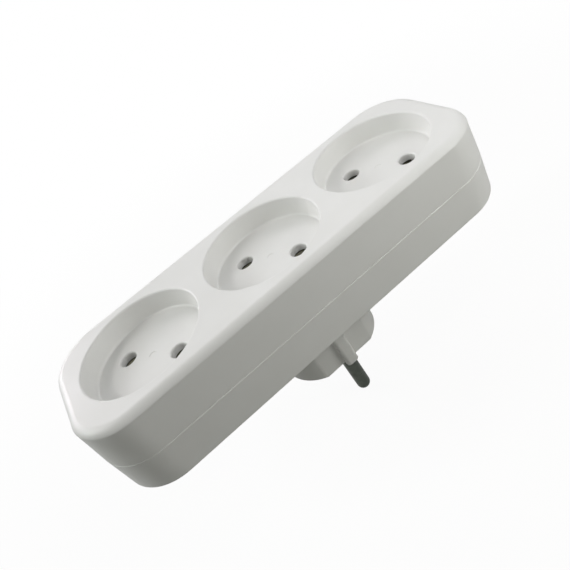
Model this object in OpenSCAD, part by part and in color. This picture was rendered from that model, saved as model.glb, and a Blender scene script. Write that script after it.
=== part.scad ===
// Three-way plug-in socket adapter for two-pin round plugs.
// Origin: middle of the plug face, between the two pins. +Z runs up to the socket face, +X along the body.

/* [Body] */
// Length of the body, measured at the seam
body_l = 143.6; // [130:0.1:160]
// Width of the body, measured at the seam
body_w = 51.4; // [49:0.1:58]
// Height of the body from its underside to the socket face
body_h = 27; // [26.5:0.1:32]
// Radius of the four upright corners in plan, at the seam
corner_r = 16; // [13:0.1:20]
// Rounding of the edge round the socket face
edge_r = 3.3; // [2.8:0.1:4]
// How far that rounding reaches down the sides, to a faint crease
edge_drop = 2; // [1.4:0.1:2.4]
// Rounding of the edge round the underside
foot_r = 0.6; // [0.3:0.1:1.5]
// How far the seam lies below the socket face
seam_drop = 14.5; // [12.5:0.1:16]
// Lean of the top shell's sides in degrees
top_draft = 2; // [0.5:0.1:3]
// Lean of the base shell's sides in degrees
base_draft = 0.6; // [0.2:0.1:2]

/* [Shells] */
// Wall of both shells
wall_t = 2.2; // [1.8:0.1:2.6]
// Thickness of the plate that carries the socket face
face_t = 2.4; // [1.8:0.1:3]
// Thickness of the base shell's floor
floor_t = 2.2; // [1.8:0.1:3]
// Height of the base shell's tongue inside the top shell
lip_h = 1.6; // [1:0.1:2.4]
// Thickness of that tongue
lip_t = 0.95; // [0.7:0.05:1.2]
// Gap round the tongue
lip_clearance = 0.1; // [0.05:0.01:0.2]
// Edge break round the base shell's upper edge, which makes the fine line of the seam
seam_break = 0.25; // [0.1:0.05:0.5]

/* [Sockets] */
// Distance from one socket to the next along the body
socket_pitch = 44.8; // [43:0.1:48]
// Diameter of the recess at the socket face
recess_d = 38.9; // [37:0.1:40]
// Depth of the recess
recess_depth = 6.8; // [5.5:0.1:7]
// Lean of the recess wall in degrees
recess_draft = 5; // [1:0.5:8]
// Rounding of the recess rim
rim_r = 0.7; // [0.3:0.1:1.2]
// Rounding where the recess wall meets its floor
recess_foot_r = 1.5; // [0.5:0.1:2.5]
// Wall of the cup round each recess
cup_wall_t = 1.6; // [1.2:0.1:2]
// Thickness of the recess floor
cup_floor_t = 2.4; // [1.8:0.1:3]
// Diameter of a pin hole
hole_d = 5.4; // [5.2:0.05:5.6]
// Edge break round a pin hole
hole_break = 0.3; // [0.1:0.05:0.5]
// Turn of each pair of pin holes from the long axis, in degrees
pair_turn = -45; // [-60:1:-30]
// Diameter of the moulding mark in the middle of each recess
gate_d = 2.4; // [1.5:0.1:3]
// Depth of that mark
gate_depth = 0.1; // [0.05:0.05:0.3]

/* [Plug] */
// Diameter of the plug base's two rounded ends
plug_d = 30.8; // [30:0.1:33]
// Distance from the middle to the centre of a rounded end
end_offset = 2.1; // [1.5:0.1:3]
// Height of the plug base from its face to the body's underside
plug_h = 21; // [18:0.1:24]
// Distance from the middle to each flat at the side of the plug base
plug_flat = 13.7; // [13.4:0.1:14.8]
// Width of the guide rib in the middle of each flat
guide_w = 4.3; // [3:0.1:5]
// Distance from the middle to the outer face of a guide rib
guide_reach = 16.2; // [15.5:0.1:17]
// Rounding of a guide rib's outer corners
guide_r = 1.1; // [0.5:0.1:1.3]
// Edge break round the plug face
plug_break = 0.3; // [0.1:0.1:1]
// Thickness of the plug face wall
plug_face_t = 3; // [2:0.1:4]

/* [Pins] */
// Distance between the pins of a plug, and between the two holes of a socket
pin_spacing = 19; // [18.8:0.1:19.2]
// Diameter of a pin
pin_d = 4.8; // [4.6:0.05:5]
// Length of a pin outside the plug face
pin_l = 19; // [18.5:0.1:19.2]
// Diameter of the pin's root inside the plug base
root_d = 5.2; // [5.05:0.05:5.4]
// Gap round the root
root_clearance = 0.1; // [0.05:0.01:0.15]
// Wall of the boss that holds the root
boss_wall_t = 1.5; // [1:0.1:1.8]
// Diameter of the collar that rests on the boss
collar_d = 7.2; // [6.5:0.1:8]
// Height of that collar
collar_h = 1.2; // [0.8:0.1:1.5]
// Diameter of the tenon that passes through the bus strip
tenon_d = 3.2; // [2.6:0.1:3.6]
// Diameter of the peened head over the strip
peen_d = 4.8; // [4.2:0.1:5]
// Height of that head
peen_h = 0.9; // [0.6:0.1:1.2]

/* [Bus strips] */
// Width of a strip
strip_w = 10; // [9:0.1:11]
// Thickness of a strip
strip_t = 0.8; // [0.6:0.05:1]
// Height of the strip's underside above the base shell's floor
strip_lift = 2.8; // [2.5:0.1:3.2]
// Length of strip past its first and last pin hole
strip_tail = 2; // [1.5:0.1:3]
// Radius of the lug round the pin's tenon
lug_r = 4.2; // [3.6:0.1:4.6]
// Diameter of the hole that the end of an inserted pin passes through
tip_hole_d = 5.8; // [5.6:0.1:6.4]
// Gap round a tenon or a rivet
rivet_clearance = 0.05; // [0.02:0.01:0.1]

/* [Contacts] */
// Thickness of the contact sheet
contact_t = 0.6; // [0.4:0.05:0.7]
// Width of a contact leaf along the strip
leaf_w = 6; // [5:0.1:7]
// Distance between the leaves where they grip
grip_gap = 4.4; // [4:0.1:4.6]
// Distance between the leaves at their root
leaf_root_gap = 7.2; // [6.6:0.1:7.6]
// Distance between the leaves at their mouth
leaf_mouth_gap = 6.6; // [6:0.1:7.4]
// Share of a leaf's height below the stretch that grips
leaf_root_share = 0.43; // [0.4:0.01:0.48]
// Share of a leaf's height that grips
grip_share = 0.32; // [0.28:0.01:0.36]
// Gap between the leaves' mouth and the recess floor above
mouth_clearance = 0.8; // [0.4:0.1:1.2]
// Distance from a pin hole's axis to the contact's rivet
rivet_offset = 8.5; // [8:0.1:9.5]
// Diameter of a rivet
rivet_d = 3; // [2.4:0.1:3.2]
// Diameter of a rivet's head
rivet_head_d = 5.2; // [4.4:0.1:5.6]
// Height of a rivet's head
rivet_head_h = 1.2; // [0.8:0.1:1.6]
// Height of a rivet's closed end
rivet_tail_h = 0.7; // [0.5:0.1:1]
// Diameter of a rivet's closed end
rivet_tail_d = 4.4; // [3.8:0.1:4.8]
// Thickness of the clip spring round the leaves
spring_t = 0.5; // [0.3:0.05:0.6]
// Share of the gripping stretch that the clip spring covers
spring_share = 0.84; // [0.7:0.01:0.95]

/* [Base shell inside] */
// Thickness of a rib under the strips
rib_t = 1.5; // [1:0.1:2]
// Length of such a rib across the body
rib_l = 12.5; // [12:0.1:14]
// Thickness of the divider between the strips
divider_t = 1.2; // [1:0.1:1.8]
// Gap between the divider and the recess floors above it
divider_clearance = 0.5; // [0.2:0.1:1]
// Floor left under the well for an inserted pin's end
well_floor_t = 1; // [0.8:0.1:1.2]
// Diameter of such a well
well_d = 6.4; // [5.8:0.1:6.5]
// Diameter of a hold-down post under a recess
post_d = 3.2; // [2.4:0.1:4]
// Distance from a socket's middle to its hold-down post
post_offset = 10; // [9:0.1:12]

/* [Screws] */
// Core diameter of a housing screw
screw_d = 2.5; // [2.2:0.1:2.8]
// Length of a screw under its head
screw_l = 14; // [12:0.1:15]
// Diameter of a screw head
screw_head_d = 5.6; // [5:0.1:5.8]
// Height of a screw head
screw_head_h = 2; // [1.6:0.1:2.4]
// Depth of the pocket for a screw head
pocket_depth = 6; // [4:0.1:7]
// Gap round a screw head in its pocket
head_clearance = 0.3; // [0.2:0.05:0.5]
// Gap round a screw's shank in the base shell
shank_clearance = 0.3; // [0.2:0.05:0.4]
// Gap round a screw's core in the top shell
pilot_clearance = 0.05; // [0.02:0.01:0.1]
// Room left past the screw's point
pilot_room = 1.5; // [0.5:0.1:2]
// Wall of the pillar round a screw in the base shell
pillar_wall_t = 1.1; // [0.9:0.1:1.3]
// Radius of the pillar above it in the top shell
top_pillar_r = 3.3; // [2.8:0.1:3.4]
// Gap between the top shell's pillar and the tongue
pillar_gap = 0.5; // [0.3:0.1:1]
// Width of the cross slot in a screw head
slot_w = 0.9; // [0.6:0.1:1.2]
// Depth of that slot
slot_depth = 1.1; // [0.6:0.1:1.4]

/* [Hidden] */
$fn = 64;

// Overrun of every cut past the face it opens, and depth of every rib's foot inside its wall
cut = 1;
embed = 0.5;

// Heights, all above the plug face
underside_z = plug_h;
floor_z = underside_z + floor_t;
face_z = underside_z + body_h;
seam_z = face_z - seam_drop;
ceiling_z = face_z - face_t;
recess_z = face_z - recess_depth;
cup_z = recess_z - cup_floor_t;
strip_z = floor_z + strip_lift;
strip_top_z = strip_z + strip_t;
contact_top_z = strip_top_z + contact_t;
leaf_top_z = cup_z - mouth_clearance;
leaf_h = leaf_top_z - strip_top_z;
grip_z = leaf_root_share * leaf_h;
grip_h = grip_share * leaf_h;
spring_h = spring_share * grip_h;
boss_z = strip_z - collar_h;
screw_seat_z = underside_z + pocket_depth;
screw_tip_z = screw_seat_z + screw_l;

// Places in plan
core_x = body_l / 2 - corner_r;
core_y = body_w / 2 - corner_r;
hole_x = pin_spacing / 2 * cos(pair_turn);
hole_y = -pin_spacing / 2 * sin(pair_turn);
pin_y = pin_spacing / 2;
boss_r = root_d / 2 + root_clearance + boss_wall_t;
lip_inset = wall_t - lip_t;
pillar_shift = (corner_r - wall_t - pillar_gap - top_pillar_r) * sin(45);
pillar_x = core_x + pillar_shift;
pillar_y = core_y + pillar_shift;
pocket_r = screw_head_d / 2 + head_clearance;
divider_half_l = pillar_x + top_pillar_r;

// Sockets are counted along the body, a and b are the two sides of the circuit
SOCKETS = [-1, 0, 1];
rib_places = [
    -socket_pitch - hole_x + rivet_offset / 2, -socket_pitch / 2,
    socket_pitch / 2, socket_pitch - hole_x - rivet_offset / 2
];

arc_steps = 8;
foot_steps = 6;
leaf_steps = 6;

// Outline of a shell's side, as pairs of inset and height: start, then a rounding of radius r that
// begins drop short of the end
function side_points(start, rise, way, draft, r, drop, steps) =
    let (
        arc_start = asin(1 - drop / r),
        centre_inset = (rise - drop) * tan(draft) + r * cos(arc_start)
    )
    concat(
        start,
        [for (i = [0:steps])
            let (a = arc_start + (90 - arc_start) * i / steps)
            [centre_inset - r * cos(a), seam_z + way * (rise - r + r * sin(a))]]
    );

// Block with the body's rounded plan, whose sides follow pairs of inset and height
module body_block(side) {
    last = len(side) - 1;
    for (sx = [-1, 1], sy = [-1, 1])
        translate([sx * core_x, sy * core_y, 0])
            rotate(sx > 0 ? (sy > 0 ? 0 : 270) : (sy > 0 ? 90 : 180))
                rotate_extrude(angle = 90)
                    polygon(concat(
                        [[0, side[0][1]]],
                        [for (p = side) [corner_r - p[0], p[1]]],
                        [[0, side[last][1]]]
                    ));
    translate([-core_x, 0, 0])
        rotate([90, 0, 90])
            linear_extrude(2 * core_x) section(body_w / 2, side);
    translate([0, core_y, 0])
        rotate([90, 0, 0])
            linear_extrude(2 * core_y) section(body_l / 2, side);
}

// Full section of such a block, from its half width
module section(half, side) {
    last = len(side) - 1;
    polygon(concat(
        [for (p = side) [half - p[0], p[1]]],
        [for (i = [last:-1:0]) [side[i][0] - half, side[i][1]]]
    ));
}

// Puts its children at one pin hole of socket k: a turn of 0 is side a, and 180 is side b
module at_hole(k, turn) {
    translate([k * socket_pitch, 0, 0]) rotate(turn) translate([-hole_x, hole_y, 0]) children();
}

// The same at both holes of every socket listed
module at_holes(sockets) {
    for (k = sockets, turn = [0, 180]) at_hole(k, turn) children();
}

// Turns the outer contact of each side, so that its foot points to the middle
module at_contact(k, turn) {
    at_hole(k, turn) rotate(k * cos(turn) < 0 ? 180 : 0) children();
}

module at_pillars() {
    for (sx = [-1, 1], sy = [-1, 1]) translate([sx * pillar_x, sy * pillar_y, 0]) children();
}

// Cutter for one recess: rounded rim, leaning wall, rounded foot and the moulding mark
module recess() {
    lean = tan(recess_draft);
    rim_x = recess_d / 2;
    foot_x = rim_x - (recess_depth - rim_r) * lean;
    rotate_extrude($fn = 96)
        polygon(concat(
            [[0, recess_z]],
            [for (i = [0:arc_steps])
                let (a = (90 - recess_draft) * i / arc_steps)
                [foot_x - recess_foot_r * (1 - sin(a)), recess_z + recess_foot_r * (1 - cos(a))]],
            [for (i = [0:arc_steps])
                let (a = 90 * i / arc_steps)
                [rim_x + rim_r * (1 - cos(a)), face_z - rim_r * (1 - sin(a))]],
            [[rim_x + rim_r, face_z + cut], [0, face_z + cut]]
        ));
    translate([0, 0, recess_z - gate_depth]) cylinder(d = gate_d, h = gate_depth + cut);
}

// Cutter for one pin hole with its broken edge
module pin_hole() {
    translate([0, 0, cup_z - cut]) cylinder(d = hole_d, h = cup_floor_t + 2 * cut);
    translate([0, 0, recess_z - hole_break])
        cylinder(r1 = hole_d / 2, r2 = hole_d / 2 + hole_break + cut, h = hole_break + cut);
}

module top_shell() {
    outside = side_points([[0, seam_z]], seam_drop, 1, top_draft, edge_r, edge_drop, arc_steps);
    ceiling_rise = seam_drop - face_t;
    color([0.93, 0.93, 0.92])
        difference() {
            union() {
                difference() {
                    body_block(outside);
                    body_block([
                        [wall_t, seam_z - cut], [wall_t, seam_z],
                        [wall_t + ceiling_rise * tan(top_draft), ceiling_z]
                    ]);
                    body_block([
                        [lip_inset - lip_clearance, seam_z - cut],
                        [lip_inset - lip_clearance, seam_z + lip_h + lip_clearance]
                    ]);
                }
                for (k = SOCKETS)
                    translate([k * socket_pitch, 0, cup_z])
                        cylinder(d = recess_d + 2 * cup_wall_t, h = ceiling_z + embed - cup_z, $fn = 96);
                at_pillars()
                    translate([0, 0, seam_z]) cylinder(r = top_pillar_r, h = ceiling_z + embed - seam_z);
                for (k = [SOCKETS[0], SOCKETS[1]], turn = [0, 180])
                    rotate(turn)
                        translate([k * socket_pitch + post_offset, hole_y, strip_top_z])
                            cylinder(d = post_d, h = cup_z + embed - strip_top_z);
            }
            for (k = SOCKETS) translate([k * socket_pitch, 0, 0]) recess();
            at_holes(SOCKETS) pin_hole();
            at_pillars()
                translate([0, 0, seam_z - cut])
                    cylinder(d = screw_d + 2 * pilot_clearance, h = screw_tip_z + pilot_room - seam_z + cut);
        }
}

// Block in the plug base's plan, two rounded ends cut by two flats, less shrink all round. Its sides
// follow pairs of inset and height.
module plug_block(shrink, side) {
    end_r = plug_d / 2 - shrink;
    last = len(side) - 1;
    intersection() {
        union() {
            for (sx = [-1, 1])
                translate([sx * end_offset, 0, 0])
                    rotate_extrude($fn = 96)
                        polygon(concat(
                            [[0, side[0][1]]],
                            [for (p = side) [end_r - p[0], p[1]]],
                            [[0, side[last][1]]]
                        ));
            translate([-end_offset, 0, 0])
                rotate([90, 0, 90])
                    linear_extrude(2 * end_offset) section(end_r, side);
        }
        translate([-plug_d, 0, 0])
            rotate([90, 0, 90])
                linear_extrude(2 * plug_d) section(plug_flat - shrink, side);
    }
}

// Guide rib in the middle of the flat at +Y, with rounded outer corners
module guide_rib(top_z) {
    foot_y = plug_flat - embed;
    linear_extrude(top_z)
        polygon(concat(
            [[guide_w / 2, foot_y]],
            [for (i = [0:arc_steps])
                let (a = 90 * i / arc_steps)
                [guide_w / 2 - guide_r * (1 - cos(a)), guide_reach - guide_r * (1 - sin(a))]],
            [for (i = [arc_steps:-1:0])
                let (a = 90 * i / arc_steps)
                [guide_r * (1 - cos(a)) - guide_w / 2, guide_reach - guide_r * (1 - sin(a))]],
            [[-guide_w / 2, foot_y]]
        ));
}

// Upright divider between the two sides, from the plug face wall up to just under the recess floors
module divider() {
    top_z = cup_z - divider_clearance;
    stem = end_offset + plug_d / 2 - wall_t + embed;
    translate([0, divider_t / 2, 0])
        rotate([90, 0, 0])
            linear_extrude(divider_t)
                polygon([
                    [-divider_half_l, floor_z - embed], [-stem, floor_z - embed],
                    [-stem, plug_face_t - embed], [stem, plug_face_t - embed],
                    [stem, floor_z - embed], [divider_half_l, floor_z - embed],
                    [divider_half_l, top_z], [-divider_half_l, top_z]
                ]);
}

module base_shell() {
    rise = body_h - seam_drop;
    outside = side_points(
        [[seam_break, seam_z], [seam_break * tan(base_draft), seam_z - seam_break]],
        rise, -1, base_draft, foot_r, foot_r * (1 - sin(base_draft)), foot_steps
    );
    last = len(outside) - 1;
    floor_rise = rise - floor_t;
    color([0.9, 0.9, 0.88])
        difference() {
            union() {
                difference() {
                    union() {
                        body_block([for (i = [last:-1:0]) outside[i]]);
                        body_block([[lip_inset, seam_z - lip_h], [lip_inset, seam_z + lip_h]]);
                        plug_block(0, [[plug_break, 0], [0, plug_break], [0, underside_z + embed]]);
                        for (turn = [0, 180]) rotate(turn) guide_rib(underside_z + embed);
                    }
                    body_block([
                        [wall_t + floor_rise * tan(base_draft), floor_z],
                        [wall_t, seam_z], [wall_t, seam_z + lip_h + cut]
                    ]);
                    plug_block(wall_t, [[0, plug_face_t], [0, floor_z + cut]]);
                }
                for (sy = [-1, 1])
                    intersection() {
                        translate([0, sy * pin_y, embed]) cylinder(r = boss_r, h = boss_z - embed);
                        plug_block(embed, [[0, embed], [0, boss_z]]);
                    }
                divider();
                for (x = rib_places, turn = [0, 180])
                    rotate(turn)
                        translate([x - rib_t / 2, 0, floor_z - embed])
                            cube([rib_t, rib_l, strip_lift + embed]);
                at_pillars()
                    translate([0, 0, floor_z - embed])
                        cylinder(r = pocket_r + pillar_wall_t, h = seam_z - floor_z + embed);
            }
            for (sy = [-1, 1])
                translate([0, sy * pin_y, -cut])
                    cylinder(d = root_d + 2 * root_clearance, h = boss_z + 2 * cut);
            at_holes([SOCKETS[0], SOCKETS[2]])
                translate([0, 0, underside_z + well_floor_t])
                    cylinder(d = well_d, h = floor_t - well_floor_t + embed);
            at_pillars() {
                translate([0, 0, underside_z - cut]) cylinder(r = pocket_r, h = pocket_depth + cut);
                cylinder(d = screw_d + 2 * shank_clearance, h = seam_z + cut);
            }
        }
}

// Pin turned from one bar: round end, root, collar under the strip, tenon and peened head
module plug_pin() {
    r = pin_d / 2;
    color([0.3, 0.33, 0.3])
        rotate_extrude()
            polygon(concat(
                [for (i = [0:arc_steps])
                    let (a = 90 * i / arc_steps)
                    [r * sin(a), r - pin_l - r * cos(a)]],
                [
                    [r, 0], [root_d / 2, 0], [root_d / 2, boss_z], [collar_d / 2, boss_z],
                    [collar_d / 2, strip_z], [tenon_d / 2, strip_z], [tenon_d / 2, strip_top_z],
                    [peen_d / 2, strip_top_z], [tenon_d / 2, strip_top_z + peen_h],
                    [0, strip_top_z + peen_h]
                ]
            ));
}

// Flat strip of side a, with a lug for the pin and a hole under every contact
module bus_strip() {
    start_x = -socket_pitch - hole_x - tip_hole_d / 2 - strip_tail;
    end_x = socket_pitch - hole_x + tip_hole_d / 2 + strip_tail;
    color("goldenrod")
        translate([0, 0, strip_z])
            difference() {
                linear_extrude(strip_t)
                    union() {
                        translate([start_x, hole_y - strip_w / 2]) square([end_x - start_x, strip_w]);
                        translate([0, pin_y]) circle(r = lug_r);
                    }
                translate([0, pin_y, -cut])
                    cylinder(d = tenon_d + 2 * rivet_clearance, h = strip_t + 2 * cut);
                for (k = SOCKETS)
                    translate([0, 0, -cut])
                        at_contact(k, 0) {
                            cylinder(d = tip_hole_d, h = strip_t + 2 * cut);
                            translate([-rivet_offset, 0, 0])
                                cylinder(d = rivet_d + 2 * rivet_clearance, h = strip_t + 2 * cut);
                        }
            }
}

// Half distance between the leaves at a height above the strip: root, grip and flared mouth
function leaf_gap(h) =
    let (
        low = (h - contact_t) / (grip_z - contact_t),
        high = (h - grip_z - grip_h) / (leaf_h - grip_z - grip_h)
    )
    h < grip_z ? grip_gap / 2 + (leaf_root_gap - grip_gap) / 2 * (1 + cos(180 * low)) / 2
    : h > grip_z + grip_h ? grip_gap / 2 + (leaf_mouth_gap - grip_gap) / 2 * high * high
    : grip_gap / 2;

function leaf_heights() =
    concat(
        [for (i = [0:leaf_steps]) contact_t + (grip_z - contact_t) * i / leaf_steps],
        [for (i = [0:leaf_steps]) grip_z + grip_h + (leaf_h - grip_z - grip_h) * i / leaf_steps]
    );

// Folded sheet contact: a foot riveted to the strip and two leaves that grip a pin
module contact() {
    heights = leaf_heights();
    last = len(heights) - 1;
    foot_w = leaf_root_gap + 2 * contact_t;
    color("gold")
        translate([0, 0, strip_top_z])
            difference() {
                union() {
                    translate([-leaf_w / 2, 0, 0])
                        rotate([90, 0, 90])
                            linear_extrude(leaf_w)
                                polygon(concat(
                                    [[foot_w / 2, 0]],
                                    [for (h = heights) [leaf_gap(h) + contact_t, h]],
                                    [for (i = [last:-1:0]) [leaf_gap(heights[i]), heights[i]]],
                                    [for (h = heights) [-leaf_gap(h), h]],
                                    [for (i = [last:-1:0])
                                        [-leaf_gap(heights[i]) - contact_t, heights[i]]],
                                    [[-foot_w / 2, 0]]
                                ));
                    translate([-rivet_offset - rivet_head_d / 2, -foot_w / 2, 0])
                        cube([rivet_offset + rivet_head_d / 2 + leaf_w / 2, foot_w, contact_t]);
                }
                translate([0, 0, -cut]) cylinder(d = tip_hole_d, h = contact_t + 2 * cut);
                translate([-rivet_offset, 0, -cut])
                    cylinder(d = rivet_d + 2 * rivet_clearance, h = contact_t + 2 * cut);
            }
}

// U-shaped clip spring that presses the two leaves together
module contact_spring() {
    inner_r = grip_gap / 2 + contact_t;
    color("silver")
        translate([0, 0, strip_top_z + grip_z + (grip_h - spring_h) / 2]) {
            translate([-leaf_w / 2, 0, 0])
                rotate(90)
                    rotate_extrude(angle = 180)
                        translate([inner_r, 0]) square([spring_t, spring_h]);
            for (y = [inner_r, -inner_r - spring_t])
                translate([-leaf_w / 2, y, 0]) cube([leaf_w, spring_t, spring_h]);
        }
}

module contact_rivet() {
    color("darkgoldenrod")
        rotate_extrude()
            polygon([
                [0, strip_z - rivet_tail_h], [rivet_tail_d / 2, strip_z - rivet_tail_h],
                [rivet_tail_d / 2, strip_z], [rivet_d / 2, strip_z], [rivet_d / 2, contact_top_z],
                [rivet_head_d / 2, contact_top_z], [rivet_d / 2, contact_top_z + rivet_head_h],
                [0, contact_top_z + rivet_head_h]
            ]);
}

// Self-tapping screw, drawn at its core diameter, driven from the underside
module housing_screw() {
    head_r = screw_head_d / 2;
    color("gray")
        difference() {
            rotate_extrude()
                polygon([
                    [0, screw_seat_z - screw_head_h], [head_r - slot_w, screw_seat_z - screw_head_h],
                    [head_r, screw_seat_z - screw_head_h / 2], [head_r, screw_seat_z],
                    [screw_d / 2, screw_seat_z], [screw_d / 2, screw_tip_z - screw_d],
                    [0, screw_tip_z]
                ]);
            for (turn = [0, 90])
                translate([0, 0, screw_seat_z - screw_head_h - cut])
                    rotate(turn)
                        translate([-head_r / 2, -slot_w / 2, 0]) cube([head_r, slot_w, slot_depth + cut]);
        }
}

top_shell();
base_shell();
translate([0, pin_y, 0]) plug_pin();  // plug_pin_a
translate([0, -pin_y, 0]) plug_pin();  // plug_pin_b
bus_strip();  // bus_strip_a
rotate(180) bus_strip();  // bus_strip_b
at_contact(SOCKETS[0], 0) contact();  // contact_1a
at_contact(SOCKETS[0], 180) contact();  // contact_1b
at_contact(SOCKETS[1], 0) contact();  // contact_2a
at_contact(SOCKETS[1], 180) contact();  // contact_2b
at_contact(SOCKETS[2], 0) contact();  // contact_3a
at_contact(SOCKETS[2], 180) contact();  // contact_3b
at_contact(SOCKETS[0], 0) contact_spring();  // contact_spring_1a
at_contact(SOCKETS[0], 180) contact_spring();  // contact_spring_1b
at_contact(SOCKETS[1], 0) contact_spring();  // contact_spring_2a
at_contact(SOCKETS[1], 180) contact_spring();  // contact_spring_2b
at_contact(SOCKETS[2], 0) contact_spring();  // contact_spring_3a
at_contact(SOCKETS[2], 180) contact_spring();  // contact_spring_3b
for (k = SOCKETS, turn = [0, 180]) at_contact(k, turn) translate([-rivet_offset, 0, 0]) contact_rivet();  // contact_rivets
at_pillars() housing_screw();  // housing_screws
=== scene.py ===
# Looks of a three-way plug-in socket adapter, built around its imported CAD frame.
# Units are metres, in the frame of the part: plug face at z = 0, socket face up, +X along the body.

import math

import bmesh
import bpy
from mathutils import Matrix, Vector


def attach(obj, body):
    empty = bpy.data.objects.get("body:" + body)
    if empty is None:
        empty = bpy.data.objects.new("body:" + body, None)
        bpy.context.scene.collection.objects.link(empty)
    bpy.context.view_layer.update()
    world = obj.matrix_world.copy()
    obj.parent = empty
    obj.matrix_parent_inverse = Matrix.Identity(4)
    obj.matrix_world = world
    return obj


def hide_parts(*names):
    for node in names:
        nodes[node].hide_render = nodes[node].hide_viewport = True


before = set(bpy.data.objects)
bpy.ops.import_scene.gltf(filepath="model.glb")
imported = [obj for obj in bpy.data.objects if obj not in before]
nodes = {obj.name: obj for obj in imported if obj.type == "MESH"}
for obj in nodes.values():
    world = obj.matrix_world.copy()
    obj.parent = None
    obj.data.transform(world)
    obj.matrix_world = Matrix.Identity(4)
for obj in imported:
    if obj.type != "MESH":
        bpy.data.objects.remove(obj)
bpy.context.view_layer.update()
mm = 0.001
mergeWithin = 0.001 * mm    # points nearer to each other than this are one
noiseSpan = (0.3, 0.7)      # a noise pattern keeps mostly to these values
print("frame loaded:", len(nodes), "nodes")


def hexColour(code):
    # sRGB hex to the linear colour that a shader socket takes
    channels = [int(code[i:i + 2], 16) / 255 for i in (1, 3, 5)]
    return [c / 12.92 if c <= 0.04045 else ((c + 0.055) / 1.055) ** 2.4 for c in channels] + [1.0]


def addNode(tree, kind, inputs=None, **settings):
    # one node with its settings, and its inputs as values or as sockets to link from
    node = tree.nodes.new(kind)
    for key, value in settings.items():
        setattr(node, key, value)
    for key, value in (inputs or {}).items():
        if isinstance(value, bpy.types.NodeSocket):
            tree.links.new(value, node.inputs[key])
        else:
            node.inputs[key].default_value = value
    return node


def addObject(name, data):
    thing = bpy.data.objects.new(name, data)
    bpy.context.scene.collection.objects.link(thing)
    return thing


# the photograph's own camera, fitted to the rims, holes and outline it shows
cameraView = {
    "place": (-25.92 * mm, -151.57 * mm, 138.88 * mm),
    # which way the picture's right, its top and the viewer lie
    "right": (0.74463, -0.50829, -0.43262),
    "up": (0.63920, 0.35636, 0.68150),
    "back": (-0.19223, -0.78400, 0.59025),
    "lens": 37.76,      # in mm, as the sensor's width
    "sensor": 36.0,
    "shift": (-0.0647, -0.0272),
    "clip": (0.01, 20.0),
}


def makeCamera(view):
    data = bpy.data.cameras.new("photoCamera")
    data.sensor_width = view["sensor"]
    data.lens = view["lens"]
    data.shift_x, data.shift_y = view["shift"]
    data.clip_start, data.clip_end = view["clip"]
    camera = addObject("photoCamera", data)
    axes = Matrix((view["right"], view["up"], view["back"])).transposed()
    camera.matrix_world = Matrix.Translation(view["place"]) @ axes.to_4x4()
    bpy.context.scene.camera = camera


makeCamera(cameraView)
print("camera placed")


def newMaterial(name):
    # a material, with its shader and the piece's own coordinates for the patterns
    mat = bpy.data.materials.new(name)
    mat.use_nodes = True
    tree = mat.node_tree
    place = addNode(tree, "ShaderNodeTexCoord").outputs["Object"]
    return mat, tree, tree.nodes["Principled BSDF"], place


def mottle(tree, shader, noise, look):
    # colour and gloss drift together between two tones
    tone = addNode(tree, "ShaderNodeMix", {
        "Factor": noise.outputs["Fac"], "A": hexColour(look["tones"][0]),
        "B": hexColour(look["tones"][1])}, data_type="RGBA")
    tree.links.new(tone.outputs["Result"], shader.inputs["Base Color"])
    gloss = addNode(tree, "ShaderNodeMapRange", {
        "Value": noise.outputs["Fac"], "From Min": noiseSpan[0], "From Max": noiseSpan[1],
        "To Min": look["roughness"][0], "To Max": look["roughness"][1]})
    tree.links.new(gloss.outputs["Result"], shader.inputs["Roughness"])


plasticLook = {
    # the moulding's white, and duller patches where the melt flowed last
    "tones": ("#EAEAE8", "#E4E4E1"),
    "patchSize": 14 * mm,
    "roughness": (0.36, 0.46),
    "ior": 1.5,
    # spark-eroded mould texture, drawn coarser than real so that it shows
    "grainSize": 0.35 * mm,
    "grainDepth": 0.006 * mm,
    # slow sink of the walls after moulding
    "waveSize": 22 * mm,
    "waveDepth": 0.03 * mm,
}


def whitePlastic(look):
    # white ABS, injection moulded in a satin mould: wide soft highlights, a faint grain, hardly
    # any colour
    mat, tree, shader, place = newMaterial("whiteMouldedAbs")
    shader.inputs["IOR"].default_value = look["ior"]
    patches = addNode(tree, "ShaderNodeTexNoise", {
        "Vector": place, "Scale": 1 / look["patchSize"], "Detail": 3.0, "Roughness": 0.5})
    mottle(tree, shader, patches, look)
    wave = addNode(tree, "ShaderNodeTexNoise", {
        "Vector": place, "Scale": 1 / look["waveSize"], "Detail": 1.0})
    grain = addNode(tree, "ShaderNodeTexNoise", {
        "Vector": place, "Scale": 1 / look["grainSize"], "Detail": 2.0, "Roughness": 0.6})
    waves = addNode(tree, "ShaderNodeBump", {
        "Strength": 1.0, "Distance": look["waveDepth"], "Height": wave.outputs["Fac"]})
    grains = addNode(tree, "ShaderNodeBump", {
        "Strength": 1.0, "Distance": look["grainDepth"], "Height": grain.outputs["Fac"],
        "Normal": waves.outputs["Normal"]})
    tree.links.new(grains.outputs["Normal"], shader.inputs["Normal"])
    return mat


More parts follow.
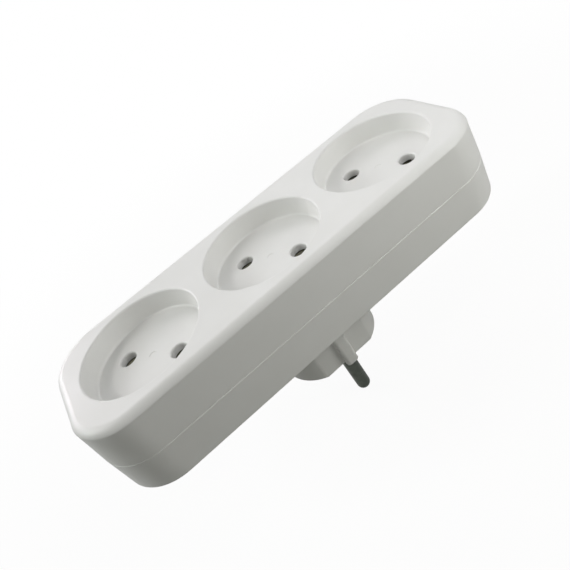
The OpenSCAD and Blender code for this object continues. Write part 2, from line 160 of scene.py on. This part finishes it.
metalLooks = {
    # plated over turned brass: a soft sheen with fine rings round the pin, in a dark green-grey
    # tone that is painted shade from under the body
    "shadeDarkenedNickelPin": {
        "tones": ("#6A7067", "#4E534C"), "roughness": (0.26, 0.40),
        "markSize": 0.45 * mm, "markDepth": 0.004 * mm},
    # brass sheet as it leaves the rolls: yellow and half bright, with streaks
    "rolledBrassStrip": {
        "tones": ("#A8935C", "#857145"), "roughness": (0.28, 0.42),
        "markSize": 0.8 * mm, "markDepth": 0.003 * mm},
    # spring bronze, painted darker than the strip as shade for the dim inside of the holes, and
    # duller
    "shadeDarkenedBronzeContact": {
        "tones": ("#6C6A5C", "#4E4C42"), "roughness": (0.32, 0.48),
        "markSize": 0.6 * mm, "markDepth": 0.003 * mm},
    # cold-headed brass wire: warm, with a soft glint on its dome
    "brassRivet": {
        "tones": ("#A9945E", "#86744A"), "roughness": (0.30, 0.45),
        "markSize": 0.5 * mm, "markDepth": 0.003 * mm},
    # hardened and tempered strip: grey with a cool cast, and the faintest lines
    "blueSpringSteel": {
        "tones": ("#8F9499", "#6F757C"), "roughness": (0.28, 0.40),
        "markSize": 0.6 * mm, "markDepth": 0.002 * mm},
    # zinc plated steel: pale grey, a little cloudy and rough
    "zincPlatedScrew": {
        "tones": ("#A9ADB0", "#83888B"), "roughness": (0.32, 0.50),
        "markSize": 0.5 * mm, "markDepth": 0.004 * mm},
}

markLook = {
    # fine rings across Z, as a turning tool leaves on a pin; on sheet they read as rolling lines
    # real ones are under 0.1 mm apart, and they are drawn about twice as coarse so that they show
    "stretch": (0.15, 0.15, 4.0),
    "stainSpread": 4,    # a stain is this many marks wide
}


def metal(name, look):
    mat, tree, shader, place = newMaterial(name)
    shader.inputs["Metallic"].default_value = 1.0
    stain = addNode(tree, "ShaderNodeTexNoise", {
        "Vector": place, "Scale": 1 / (markLook["stainSpread"] * look["markSize"]),
        "Detail": 4.0, "Roughness": 0.6})
    mottle(tree, shader, stain, look)
    stretch = addNode(tree, "ShaderNodeMapping", {"Vector": place, "Scale": markLook["stretch"]})
    marks = addNode(tree, "ShaderNodeTexNoise", {
        "Vector": stretch.outputs["Vector"], "Scale": 1 / look["markSize"],
        "Detail": 3.0, "Roughness": 0.55})
    bump = addNode(tree, "ShaderNodeBump", {
        "Strength": 1.0, "Distance": look["markDepth"], "Height": marks.outputs["Fac"]})
    tree.links.new(bump.outputs["Normal"], shader.inputs["Normal"])
    return mat


shellPlastic = whitePlastic(plasticLook)
metals = {name: metal(name, look) for name, look in metalLooks.items()}
nodeFinish = {
    # how a node's name starts: its finish
    # the pins' dark green-grey tone is painted shade
    "plug_pin": "shadeDarkenedNickelPin",
    "bus_strip": "rolledBrassStrip",
    "contact_spring": "blueSpringSteel",
    "contact_rivets": "brassRivet",
    # the contacts' dark tone is painted shade for the inside of the holes
    "contact": "shadeDarkenedBronzeContact",
    "housing_screws": "zincPlatedScrew",
}


def finishFor(nodeName):
    # the longest start that fits, so that a contact's clip isn't taken for the contact
    found = [start for start in nodeFinish if nodeName.startswith(start)]
    return metals[nodeFinish[max(found, key=len)]]


for name, node in nodes.items():
    if name not in ("top_shell", "base_shell"):
        node.data.materials.clear()
        node.data.materials.append(finishFor(name))
print("metals set on the CAD nodes")


# shells and pins: the CAD forms again, with smooth fillets and turned faces between crisp edges
footDetail = {
    # the fillet at the foot of a recess is tighter than the solid's
    # a centre is the fillet's distance from the socket's middle, and its height
    "sockets": (-44.8 * mm, 0.0, 44.8 * mm),
    "solidRadius": 1.5 * mm,
    "solidCentre": (17.42 * mm, 42.70 * mm),
    "radius": 0.7 * mm,
    "centre": (18.13 * mm, 41.90 * mm),
    "offArc": 0.03,     # a point this near to the solid's arc is on it, as a share of the radius
    "pastEnd": 0.01,    # and this far past the arc's ends
}


def tightenFeet(shape, look):
    solidR, solidZ = look["solidCentre"]
    tightR, tightZ = look["centre"]
    for vert in shape.verts:
        x, y, z = vert.co
        for middle in look["sockets"]:
            r = math.hypot(x - middle, y)
            out, up = (r - solidR) / look["solidRadius"], (z - solidZ) / look["solidRadius"]
            onArc = abs(math.hypot(out, up) - 1) < look["offArc"]
            if onArc and out > -look["pastEnd"] and up < look["pastEnd"]:
                share = (tightR + look["radius"] * out) / r
                vert.co = (middle + (x - middle) * share, y * share, tightZ + look["radius"] * up)


seamDetail = {
    # the top shell's lower edge draws in, so that the seam catches light
    "height": 33.5 * mm,
    "cornerCentre": (55.8 * mm, 9.7 * mm),
    "cornerRadius": 16 * mm,
    "rise": 0.20 * mm,
    "openDepth": 0.24 * mm,      # the shells gape a little at the -X end
    "closedDepth": 0.10 * mm,    # and close from the middle on towards +X
    "offEdge": 0.01 * mm,        # a point this near to the seam's height is on the edge
    "skin": 0.5 * mm,            # and it is on the outside when this near to the outline
}


def drawSeam(shape, look):
    bmesh.ops.bisect_plane(
        shape, geom=shape.verts[:] + shape.edges[:] + shape.faces[:], dist=mergeWithin,
        plane_co=(0, 0, look["height"] + look["rise"]), plane_no=(0, 0, 1))
    cornerX, cornerY = look["cornerCentre"]
    for vert in shape.verts:
        x, y, z = vert.co
        dx = math.copysign(max(abs(x) - cornerX, 0), x)
        dy = math.copysign(max(abs(y) - cornerY, 0), y)
        reach = math.hypot(dx, dy)
        onEdge = abs(z - look["height"]) < look["offEdge"]
        if onEdge and reach > look["cornerRadius"] - look["skin"]:
            opened = max(0, -x / cornerX)
            depth = look["closedDepth"] + (look["openDepth"] - look["closedDepth"]) * opened
            vert.co.x -= dx / reach * depth
            vert.co.y -= dy / reach * depth


smoothPieces = {
    # piece: node it stands for, slot, and the angle in degrees above which an edge stays sharp
    "topShellMoulding": ("top_shell", "shell_plastic", 16),
    "baseShellMoulding": ("base_shell", "shell_plastic", 16),
    "plugPinA": ("plug_pin_a", "pin_metal", 24),
    "plugPinB": ("plug_pin_b", "pin_metal", 24),
}

shadingLook = {
    "levelNormal": 0.99999,    # a face is level when its normal's Z is above this
    "flatWithin": 0.3,         # degrees between faces that are one flat face
    "normalWeight": 50,
}


def smoothCopy(pieceName, nodeName, slotName, sharpAbove):
    mesh = nodes[nodeName].data.copy()
    mesh.name = pieceName
    shape = bmesh.new()
    shape.from_mesh(mesh)
    bmesh.ops.remove_doubles(shape, verts=shape.verts, dist=mergeWithin)
    if nodeName == "top_shell":
        tightenFeet(shape, footDetail)
        drawSeam(shape, seamDetail)
    # level faces become single ones, so that a fillet beside them doesn't tilt their shading
    shape.normal_update()
    level = [edge for edge in shape.edges
             if all(abs(face.normal.z) > shadingLook["levelNormal"] for face in edge.link_faces)]
    bmesh.ops.dissolve_limit(
        shape, angle_limit=math.radians(shadingLook["flatWithin"]), verts=[], edges=level)
    shape.to_mesh(mesh)
    shape.free()
    mesh.materials.clear()
    mesh.materials.append(shellPlastic if slotName == "shell_plastic" else finishFor(nodeName))
    mesh.shade_smooth()
    mesh.set_sharp_from_angle(angle=math.radians(sharpAbove))
    piece = addObject(pieceName, mesh)
    even = piece.modifiers.new("evenNormals", "WEIGHTED_NORMAL")
    even.mode = "FACE_AREA"
    even.weight = shadingLook["normalWeight"]
    even.keep_sharp = True
    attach(piece, "root")
    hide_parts(nodeName)


for pieceName, values in smoothPieces.items():
    smoothCopy(pieceName, *values)
print("shells and pins made")


# screws and rivets: one turned shape each, set on its places by Geometry Nodes
# rings run from one end to the other: diameter and height, each a sum of shares of the sizes
screwLook = {
    "node": "housing_screws",
    "slot": "screw_steel",
    "apart": 8 * mm,       # points nearer than this, seen from above, are on one screw
    "seat": 2.0 * mm,      # from the node's lowest point up to the face that the head sits on
    "sizes": {
        "Head Diameter": 5.6 * mm, "Head Height": 2.0 * mm,
        "Core Diameter": 2.5 * mm, "Length": 14.0 * mm,
        "Slot Width": 0.9 * mm, "Slot Depth": 1.1 * mm,
        "Thread Depth": 0.32 * mm, "Thread Pitch": 1.25 * mm,
    },
    "rings": [
        ({}, {"Head Height": -1.0}),
        ({"Head Diameter": 0.40}, {"Head Height": -0.97}),
        ({"Head Diameter": 0.72}, {"Head Height": -0.86}),
        ({"Head Diameter": 0.92}, {"Head Height": -0.64}),
        ({"Head Diameter": 1.00}, {"Head Height": -0.34}),
        ({"Head Diameter": 1.00}, {"Head Height": -0.04}),
        ({"Core Diameter": 1.00}, {}),
        ({"Core Diameter": 1.00}, {"Length": 1.0, "Core Diameter": -1.0}),
        ({"Core Diameter": 0.55}, {"Length": 1.0, "Core Diameter": -0.4}),
        ({}, {"Length": 1.0}),
    ],
    "slotReach": 0.52,            # of the head's diameter
    "threadStart": 0.08,          # of the length
    "threadReach": 0.80,
    "threadTaper": (0.5, 0.44),   # radius at its start and its end, of the core's diameter
    "threadSteps": 24,            # round each turn
    "ridgeSides": 3,
}
rivetLook = {
    "node": "contact_rivets",
    "slot": "rivet_brass",
    "apart": 8 * mm,
    "seat": 0.7 * mm,
    "sizes": {
        "Head Diameter": 5.2 * mm, "Head Height": 1.2 * mm, "Shank Diameter": 3.0 * mm,
        "Tail Diameter": 4.4 * mm, "Tail Height": 0.7 * mm, "Grip": 1.4 * mm,
    },
    "rings": [
        ({}, {"Tail Height": -0.72}),
        ({"Tail Diameter": 0.45}, {"Tail Height": -0.78}),
        ({"Tail Diameter": 0.72}, {"Tail Height": -1.0}),
        ({"Tail Diameter": 1.00}, {"Tail Height": -0.55}),
        ({"Tail Diameter": 1.00}, {"Tail Height": -0.06}),
        ({"Shank Diameter": 1.00}, {}),
        ({"Shank Diameter": 1.00}, {"Grip": 1.0}),
        ({"Head Diameter": 1.00}, {"Grip": 1.0, "Head Height": 0.05}),
        ({"Head Diameter": 0.94}, {"Grip": 1.0, "Head Height": 0.45}),
        ({"Head Diameter": 0.74}, {"Grip": 1.0, "Head Height": 0.78}),
        ({"Head Diameter": 0.42}, {"Grip": 1.0, "Head Height": 0.96}),
        ({}, {"Grip": 1.0, "Head Height": 1.0}),
    ],
}
turnedLook = {
    # what both share
    "sides": 32,
    "mergeWithin": 0.01 * mm,    # rings that meet become one
    "sharpAbove": 38,            # degrees
}


def placesOf(nodeName, apart):
    # the middle of each separate solid in a node, seen from above, and its lowest height
    groups = []
    for vert in nodes[nodeName].data.vertices:
        x, y, z = vert.co
        near = [group for group in groups if math.hypot(x - group[0][0], y - group[0][1]) < apart]
        if near:
            near[0].append((x, y, z))
        else:
            groups.append([(x, y, z)])
    places = []
    for group in groups:
        xs, ys, zs = zip(*group)
        places.append(((min(xs) + max(xs)) / 2, (min(ys) + max(ys)) / 2, min(zs)))
    return places


def sumOf(tree, given, shares):
    # a length made of shares of the named sizes
    value = 0.0
    for key, share in shares.items():
        value = addNode(tree, "ShaderNodeMath", {
            0: given[key], 1: share, 2: value}, operation="MULTIPLY_ADD").outputs[0]
    return value


def raised(tree, shape, height):
    lift = addNode(tree, "ShaderNodeCombineXYZ", {"Z": height})
    return addNode(tree, "GeometryNodeTransform", {
        "Geometry": shape, "Translation": lift.outputs[0]}).outputs[0]


def turnedBody(tree, given, rings):
    # an open cone between each ring and the next, merged into one skin
    turned = addNode(tree, "GeometryNodeJoinGeometry")
    radii = [sumOf(tree, given, {key: share / 2 for key, share in diameter.items()})
             for diameter, height in rings]
    heights = [sumOf(tree, given, height) for diameter, height in rings]
    for k in range(len(rings) - 1):
        depth = addNode(tree, "ShaderNodeMath", {
            0: heights[k + 1], 1: heights[k]}, operation="SUBTRACT")
        cone = addNode(tree, "GeometryNodeMeshCone", {
            "Vertices": turnedLook["sides"], "Radius Bottom": radii[k], "Radius Top": radii[k + 1],
            "Depth": depth.outputs[0]}, fill_type="NONE")
        tree.links.new(raised(tree, cone.outputs["Mesh"], heights[k]), turned.inputs[0])
    return addNode(tree, "GeometryNodeMergeByDistance", {
        "Geometry": turned.outputs[0], "Distance": turnedLook["mergeWithin"]}).outputs[0]


def crossSlotted(tree, given, look, body):
    # two bars are cut out, each with its middle at the head's crown
    crown = sumOf(tree, given, {"Head Height": -1.0})
    long, wide = sumOf(tree, given, {"Head Diameter": look["slotReach"]}), given["Slot Width"]
    high = sumOf(tree, given, {"Slot Depth": 2.0})
    cut = addNode(tree, "GeometryNodeMeshBoolean", {
        "Mesh 1": body}, operation="DIFFERENCE", solver="EXACT")
    for x, y in ((long, wide), (wide, long)):
        size = addNode(tree, "ShaderNodeCombineXYZ", {"X": x, "Y": y, "Z": high})
        bar = addNode(tree, "GeometryNodeMeshCube", {"Size": size.outputs[0]})
        tree.links.new(raised(tree, bar.outputs["Mesh"], crown), cut.inputs["Mesh 2"])
    return cut.outputs["Mesh"]


def threaded(tree, given, look, body):
    # a ridge winds round the core
    height = sumOf(tree, given, {"Length": look["threadReach"]})
    turns = addNode(tree, "ShaderNodeMath", {
        0: height, 1: given["Thread Pitch"]}, operation="DIVIDE")
    radii = [sumOf(tree, given, {"Core Diameter": share}) for share in look["threadTaper"]]
    helix = addNode(tree, "GeometryNodeCurveSpiral", {
        "Resolution": look["threadSteps"], "Rotations": turns.outputs[0],
        "Start Radius": radii[0], "End Radius": radii[1], "Height": height})
    ridge = addNode(tree, "GeometryNodeCurvePrimitiveCircle", {
        "Resolution": look["ridgeSides"], "Radius": given["Thread Depth"]})
    thread = addNode(tree, "GeometryNodeCurveToMesh", {
        "Curve": helix.outputs[0], "Profile Curve": ridge.outputs[0], "Fill Caps": True})
    start = sumOf(tree, given, {"Length": look["threadStart"]})
    whole = addNode(tree, "GeometryNodeJoinGeometry", {"Geometry": body})
    tree.links.new(raised(tree, thread.outputs[0], start), whole.inputs[0])
    return whole.outputs[0]


def fastenerTree(name, look):
    tree = bpy.data.node_groups.new(name, "GeometryNodeTree")
    face = tree.interface
    face.new_socket("Places", in_out="INPUT", socket_type="NodeSocketGeometry")
    for key in look["sizes"]:
        face.new_socket(key, in_out="INPUT", socket_type="NodeSocketFloat")
    face.new_socket("Material", in_out="INPUT", socket_type="NodeSocketMaterial")
    face.new_socket("Geometry", in_out="OUTPUT", socket_type="NodeSocketGeometry")
    given = addNode(tree, "NodeGroupInput").outputs
    body = turnedBody(tree, given, look["rings"])
    if "Thread Pitch" in look["sizes"]:
        body = threaded(tree, given, look, crossSlotted(tree, given, look, body))
    placed = addNode(tree, "GeometryNodeInstanceOnPoints", {
        "Points": given["Places"], "Instance": body})
    real = addNode(tree, "GeometryNodeRealizeInstances", {"Geometry": placed.outputs[0]})
    finished = addNode(tree, "GeometryNodeSetMaterial", {
        "Geometry": real.outputs[0], "Material": given["Material"]})
    addNode(tree, "NodeGroupOutput", {"Geometry": finished.outputs[0]})
    return tree


def makeFasteners(pieceName, look):
    finish = finishFor(look["node"])
    dots = bpy.data.meshes.new(pieceName + "Places")
    dots.from_pydata(
        [(x, y, low + look["seat"]) for x, y, low in placesOf(look["node"], look["apart"])], [], [])
    holder = addObject(pieceName + "Holder", dots)
    steps = holder.modifiers.new("fasteners", "NODES")
    steps.node_group = fastenerTree(pieceName + "Tree", look)
    values = {**look["sizes"], "Material": finish}
    for item in steps.node_group.interface.items_tree:
        if item.in_out == "INPUT" and item.name in values:
            steps[item.identifier] = values[item.name]
    solved = holder.evaluated_get(bpy.context.evaluated_depsgraph_get())
    mesh = bpy.data.meshes.new_from_object(solved)
    holder.modifiers.remove(steps)
    bpy.data.objects.remove(holder)
    # the finish becomes the only slot
    mesh.materials.clear()
    mesh.materials.append(finish)
    for polygon in mesh.polygons:
        polygon.material_index = 0
    mesh.shade_smooth()
    mesh.set_sharp_from_angle(angle=math.radians(turnedLook["sharpAbove"]))
    piece = addObject(pieceName, mesh)
    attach(piece, "root")
    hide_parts(look["node"])


makeFasteners("housingScrewSet", screwLook)
makeFasteners("contactRivetSet", rivetLook)
print("screws and rivets made")


# stage: a pale floor under the pins, a white backdrop and soft lamps
def seenRays(tree):
    # the kinds of ray, and a value that is 1 where the camera sees the stage, in gloss too
    rays = addNode(tree, "ShaderNodeLightPath").outputs
    seen = rays["Is Camera Ray"]
    for kind in ("Is Glossy Ray", "Is Transmission Ray"):
        seen = addNode(tree, "ShaderNodeMath", {
            0: seen, 1: rays[kind]}, operation="MAXIMUM").outputs[0]
    return rays, seen


stageLook = {
    "floorDrop": 19.6 * mm,         # just under the tips of the pins
    "floorHalf": 3.0,
    "floorGrey": "#9B9C96",         # what the object sees of the floor
    "white": "#FFFFFF",             # what the camera sees of it
    "mirrored": 0.5,                # how bright that white is in reflections
    "shadowWhite": "#F4F4F2",       # the floor that takes the shadow
    "shadowShare": 0.06,            # how much of it shows through the white
    "shadowReach": (0.10, 0.32),    # it fades out between these distances from the object
}


def makeFloor(look):
    # matt white paper: an even white to the camera, with only a faint shadow of the object
    mesh = bpy.data.meshes.new("studioFloor")
    h, z = look["floorHalf"], -look["floorDrop"]
    mesh.from_pydata([(-h, -h, z), (h, -h, z), (h, h, z), (-h, h, z)], [], [(0, 1, 2, 3)])
    mat = bpy.data.materials.new("paleFloor")
    mat.use_nodes = True
    tree = mat.node_tree
    tree.nodes.clear()
    rays, seen = seenRays(tree)
    # duller in reflections, so that the object keeps its dark outline against the white
    dulled = addNode(tree, "ShaderNodeMath", {
        0: rays["Is Glossy Ray"], 1: look["mirrored"] - 1.0, 2: 1.0}, operation="MULTIPLY_ADD")
    glow = addNode(tree, "ShaderNodeEmission", {
        "Color": hexColour(look["white"]), "Strength": dulled.outputs[0]})
    pale = addNode(tree, "ShaderNodeBsdfDiffuse", {"Color": hexColour(look["shadowWhite"])})
    grey = addNode(tree, "ShaderNodeBsdfDiffuse", {"Color": hexColour(look["floorGrey"])})
    place = addNode(tree, "ShaderNodeTexCoord").outputs["Object"]
    away = addNode(tree, "ShaderNodeVectorMath", {0: place}, operation="LENGTH")
    share = addNode(tree, "ShaderNodeMapRange", {
        "Value": away.outputs["Value"],
        "From Min": look["shadowReach"][0], "From Max": look["shadowReach"][1],
        "To Min": look["shadowShare"], "To Max": 0.0}, interpolation_type="SMOOTHSTEP")
    shown = addNode(tree, "ShaderNodeMixShader", {
        0: share.outputs["Result"], 1: glow.outputs[0], 2: pale.outputs[0]})
    face = addNode(tree, "ShaderNodeMixShader", {
        0: seen, 1: grey.outputs[0], 2: shown.outputs[0]})
    # the floor has no underside, so that the object can be looked at from below
    side = addNode(tree, "ShaderNodeNewGeometry")
    clear = addNode(tree, "ShaderNodeBsdfTransparent")
    both = addNode(tree, "ShaderNodeMixShader", {
        0: side.outputs["Backfacing"], 1: face.outputs[0], 2: clear.outputs[0]})
    addNode(tree, "ShaderNodeOutputMaterial", {"Surface": both.outputs[0]})
    mesh.materials.append(mat)
    addObject("studioFloor", mesh)


skyLook = {"colour": "#F8FAF4", "strength": 0.03, "white": "#FFFFFF"}


def makeSky(look):
    world = bpy.data.worlds.new("studioSky")
    bpy.context.scene.world = world
    world.use_nodes = True
    tree = world.node_tree
    tree.nodes.clear()
    seen = seenRays(tree)[1]
    soft = addNode(tree, "ShaderNodeBackground", {
        "Color": hexColour(look["colour"]), "Strength": look["strength"]})
    white = addNode(tree, "ShaderNodeBackground", {
        "Color": hexColour(look["white"]), "Strength": 1.0})
    both = addNode(tree, "ShaderNodeMixShader", {
        0: seen, 1: soft.outputs[0], 2: white.outputs[0]})
    addNode(tree, "ShaderNodeOutputWorld", {"Surface": both.outputs[0]})


lampAim = Vector((0, 0, 35 * mm))    # the middle of the body

lamps = {
    # name: direction it comes from, distance and width in metres, watts, colour
    "backLamp": ((0.133, 0.754, 0.643), 0.900, 0.60, 1.296, "#FEFEFF"),
    "frontFill": ((-0.185, -0.743, 0.643), 0.900, 0.60, 0.481, "#FFFFF6"),
    "rimLamp": ((-0.397, 0.852, 0.342), 0.900, 0.25, 1.358, "#FFF7FE"),
    "keyLamp": ((-0.604, 0.720, 0.342), 0.900, 0.25, 1.198, "#FAF7FF"),
    "leftLamp": ((-0.837, 0.305, 0.454), 0.900, 0.25, 1.650, "#F7FFFC"),
    "highLamp": ((-0.664, 0.242, 0.707), 0.900, 0.25, 1.990, "#FFFDFA"),
    "nearLamp": ((0.616, -0.704, 0.352), 0.227, 0.14, 0.172, "#FFFFFB"),
    "endLamp": ((0.848, 0.000, 0.530), 0.189, 0.14, 0.031, "#F6F6FF"),
    "overLamp": ((0.374, -0.312, 0.873), 0.321, 0.14, 0.180, "#FEFEFF"),
}


def makeLamp(name, direction, distance, width, watts, colour):
    data = bpy.data.lights.new(name, "AREA")
    data.shape = "DISK"
    data.size = width
    data.energy = watts
    data.color = hexColour(colour)[:3]
    lamp = addObject(name, data)
    towards = Vector(direction).normalized()
    lamp.location = lampAim + towards * distance
    lamp.rotation_mode = "QUATERNION"
    lamp.rotation_quaternion = towards.to_track_quat("Z", "Y")
    lamp.visible_camera = False


makeFloor(stageLook)
makeSky(skyLook)
for name, values in lamps.items():
    makeLamp(name, *values)
bpy.context.scene.view_settings.view_transform = "Standard"
print("stage and lamps made")
